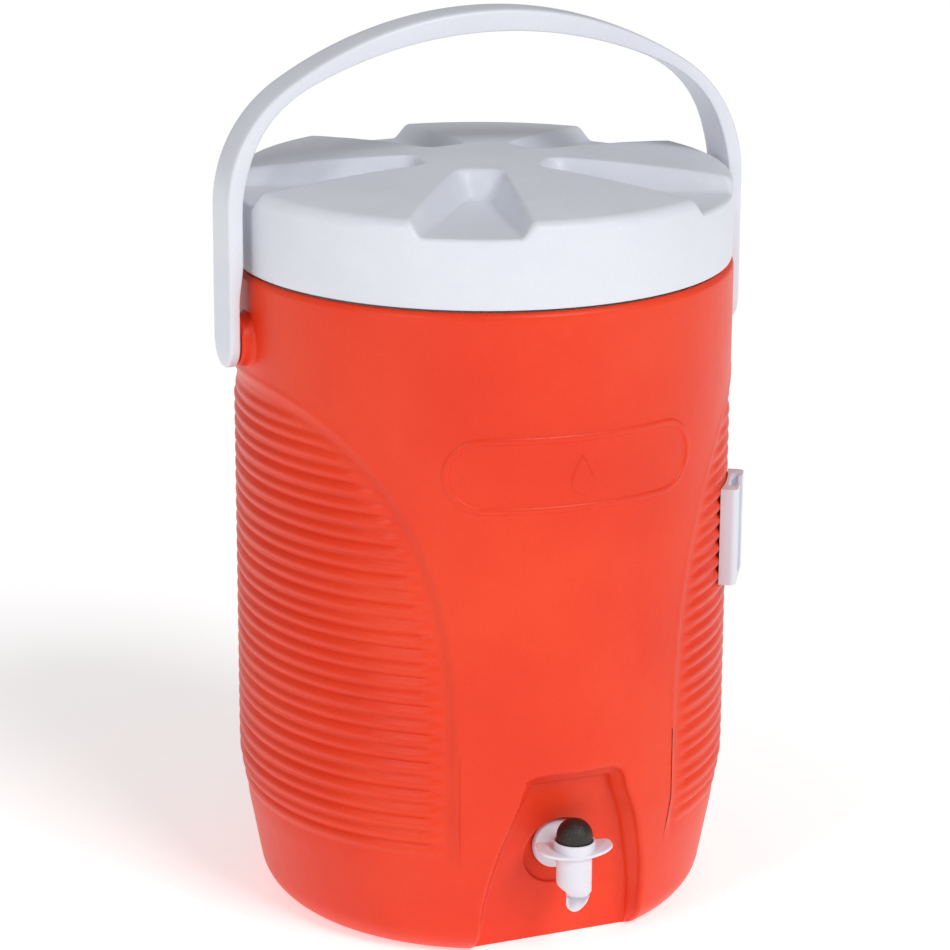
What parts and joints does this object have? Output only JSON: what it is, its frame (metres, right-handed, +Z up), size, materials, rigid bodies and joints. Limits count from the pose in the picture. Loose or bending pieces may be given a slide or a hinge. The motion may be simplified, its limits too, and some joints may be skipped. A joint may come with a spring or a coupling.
{
  "type": "beverage dispenser",
  "caption": "Round insulated jug with a screw lid, a swinging carry handle, a push-button spigot in a front recess, ribbed sides and a side rail for a cup dispenser.",
  "frame": {"origin": "middle of the flat base, on the jug's axis", "axes": "+Z up along the jug's axis; the spigot faces -Y; the handle turns about X"},
  "size_m": [0.3124, 0.2924, 0.517],
  "materials": {
    "orange_shell": "satin moulded polyethylene, finely pebbled",
    "white_plastic": "satin moulded polypropylene",
    "white_tank": "smooth food-grade polyethylene",
    "foam": "rigid polyurethane foam",
    "dark_plastic": "satin",
    "seal_rubber": "soft rubber",
    "black_button": "finely textured soft plastic",
    "steel": "stainless"
  },
  "bodies": {
    "jug": {"outer_shell": "orange_shell", "inner_liner": "white_tank", "foam_insulation": "foam", "foam_fill_plug": "orange_shell", "handle_pin_left": "white_plastic", "handle_pin_right": "white_plastic", "handle_washer_left": "dark_plastic", "handle_washer_right": "dark_plastic", "side_rail": "white_plastic", "rail_screws": "steel", "spigot_body": "white_plastic", "spigot_outer_washer": "seal_rubber", "spigot_inner_washer": "seal_rubber", "spigot_nut": "white_plastic", "spigot_bonnet": "white_plastic", "stem_seal": "seal_rubber", "return_spring": "steel"},
    "handle": {"carry_handle": "white_plastic"},
    "lid_lift_ring": {"lid_gasket": "seal_rubber"},
    "lid": {"lid_shell": "white_plastic", "lid_liner": "white_tank", "lid_foam": "foam"},
    "button": {"push_button": "black_button", "valve_stem": "white_plastic", "valve_plug": "seal_rubber"}
  },
  "joints": [
    {"name": "handle_swing", "type": "hinge", "parent": "jug", "child": "handle", "pos_m": [0, 0, 0.34], "axis": [1, 0, 0], "range_deg": [-112, 112]},
    {"name": "lid_lift", "type": "slide", "parent": "jug", "child": "lid_lift_ring", "axis": [0, 0, 1], "range_m": [0, 0.0121]},
    {"name": "lid_turn", "type": "hinge", "parent": "lid_lift_ring", "child": "lid", "pos_m": [0, 0, 0.4], "axis": [0, 0, 1], "range_deg": [0, 180]},
    {"name": "button_press", "type": "slide", "parent": "jug", "child": "button", "axis": [0, 0, -1], "range_m": [0, 0.003], "stiffness_N_per_m": 600, "springref_m": -0.004, "deforming": ["return_spring"]}
  ],
  "couplings": [
    {"joint": "lid_lift", "follows": "lid_turn", "m_per_rad": 0.0038197}
  ]
}
